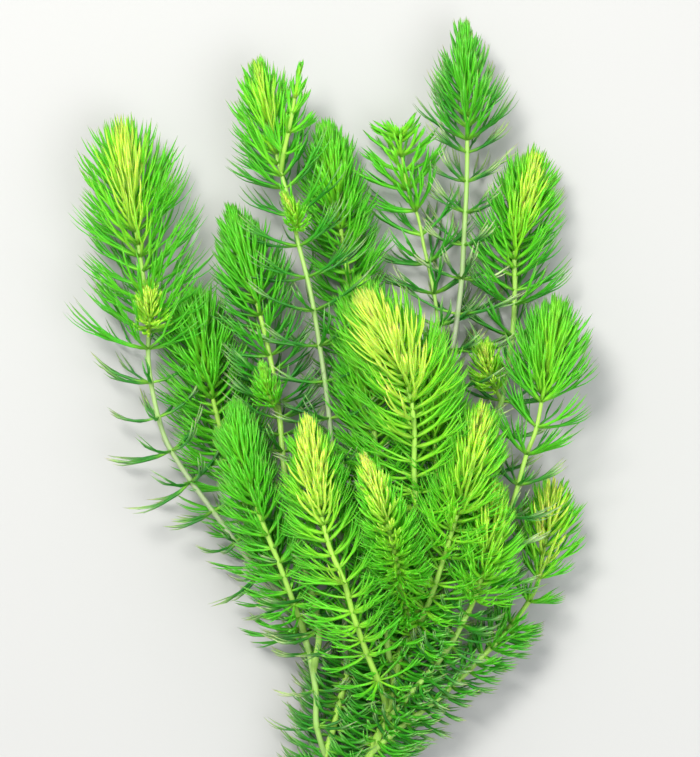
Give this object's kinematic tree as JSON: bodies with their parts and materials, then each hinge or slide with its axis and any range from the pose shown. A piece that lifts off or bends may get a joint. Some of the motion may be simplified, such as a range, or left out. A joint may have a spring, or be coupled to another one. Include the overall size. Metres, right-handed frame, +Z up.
{
  "type": "hornwort",
  "caption": "Bushy branching water plant with needle leaves in whorls and crowded growing tips, cut at its foot and lying flat.",
  "frame": {"origin": "centre of the bottom face of the whole plant's bounding box, on the surface that it lies on", "axes": "+Y along the plant from its cut foot to its growing tips, +Z up from the surface, +X to the right seen from above with the tips up"},
  "size_m": [0.187, 0.2908, 0.0736],
  "materials": {
    "pale_stem": "pale yellowish green stem, moist and slightly glossy, with dark green needle leaves",
    "green_leaves": "thin deep green needle leaves, paler where young, greyish at the ends, with a soft moist sheen",
    "green_tip": "crowded young leaves, bright mid green",
    "yellow_tip": "crowded young leaves, bright yellow green"
  },
  "bodies": {
    "root": {"main_stem": "pale_stem", "centre_shoot": "green_leaves", "centre_tip": "yellow_tip", "tallest_shoot": "green_leaves", "tallest_tip": "green_tip", "thin_shoot": "green_leaves", "thin_tip": "green_tip", "centre_right_shoot": "green_leaves", "centre_right_tip": "yellow_tip", "mid_right_shoot": "green_leaves", "mid_right_tip": "yellow_tip", "front_shoot": "green_leaves", "front_tip": "yellow_tip", "back_centre_shoot": "green_leaves", "back_centre_tip": "green_tip", "upper_right_shoot": "green_leaves", "upper_right_tip": "yellow_tip", "right_shoot": "green_leaves", "right_tip": "green_tip", "inner_right_shoot": "green_leaves", "inner_right_tip": "yellow_tip", "lower_right_shoot": "green_leaves", "lower_right_tip": "yellow_tip", "lower_centre_shoot": "green_leaves", "lower_centre_tip": "yellow_tip", "left_fork": "pale_stem", "top_centre_shoot": "green_leaves", "top_centre_tip": "green_tip", "top_left_shoot": "green_leaves", "top_left_tip": "yellow_tip", "outer_left_fork": "pale_stem", "far_left_shoot": "green_leaves", "far_left_tip": "yellow_tip", "left_shoot": "green_leaves", "left_tip": "green_tip", "inner_left_shoot": "green_leaves", "inner_left_tip": "green_tip", "mid_left_shoot": "green_leaves", "mid_left_tip": "green_tip", "small_left_shoot": "green_leaves", "small_left_tip": "green_tip", "far_left_bud": "yellow_tip", "top_left_bud": "yellow_tip", "top_left_twin_bud": "yellow_tip", "upper_right_bud": "yellow_tip", "mid_left_bud": "yellow_tip"}
  },
  "joints": []
}
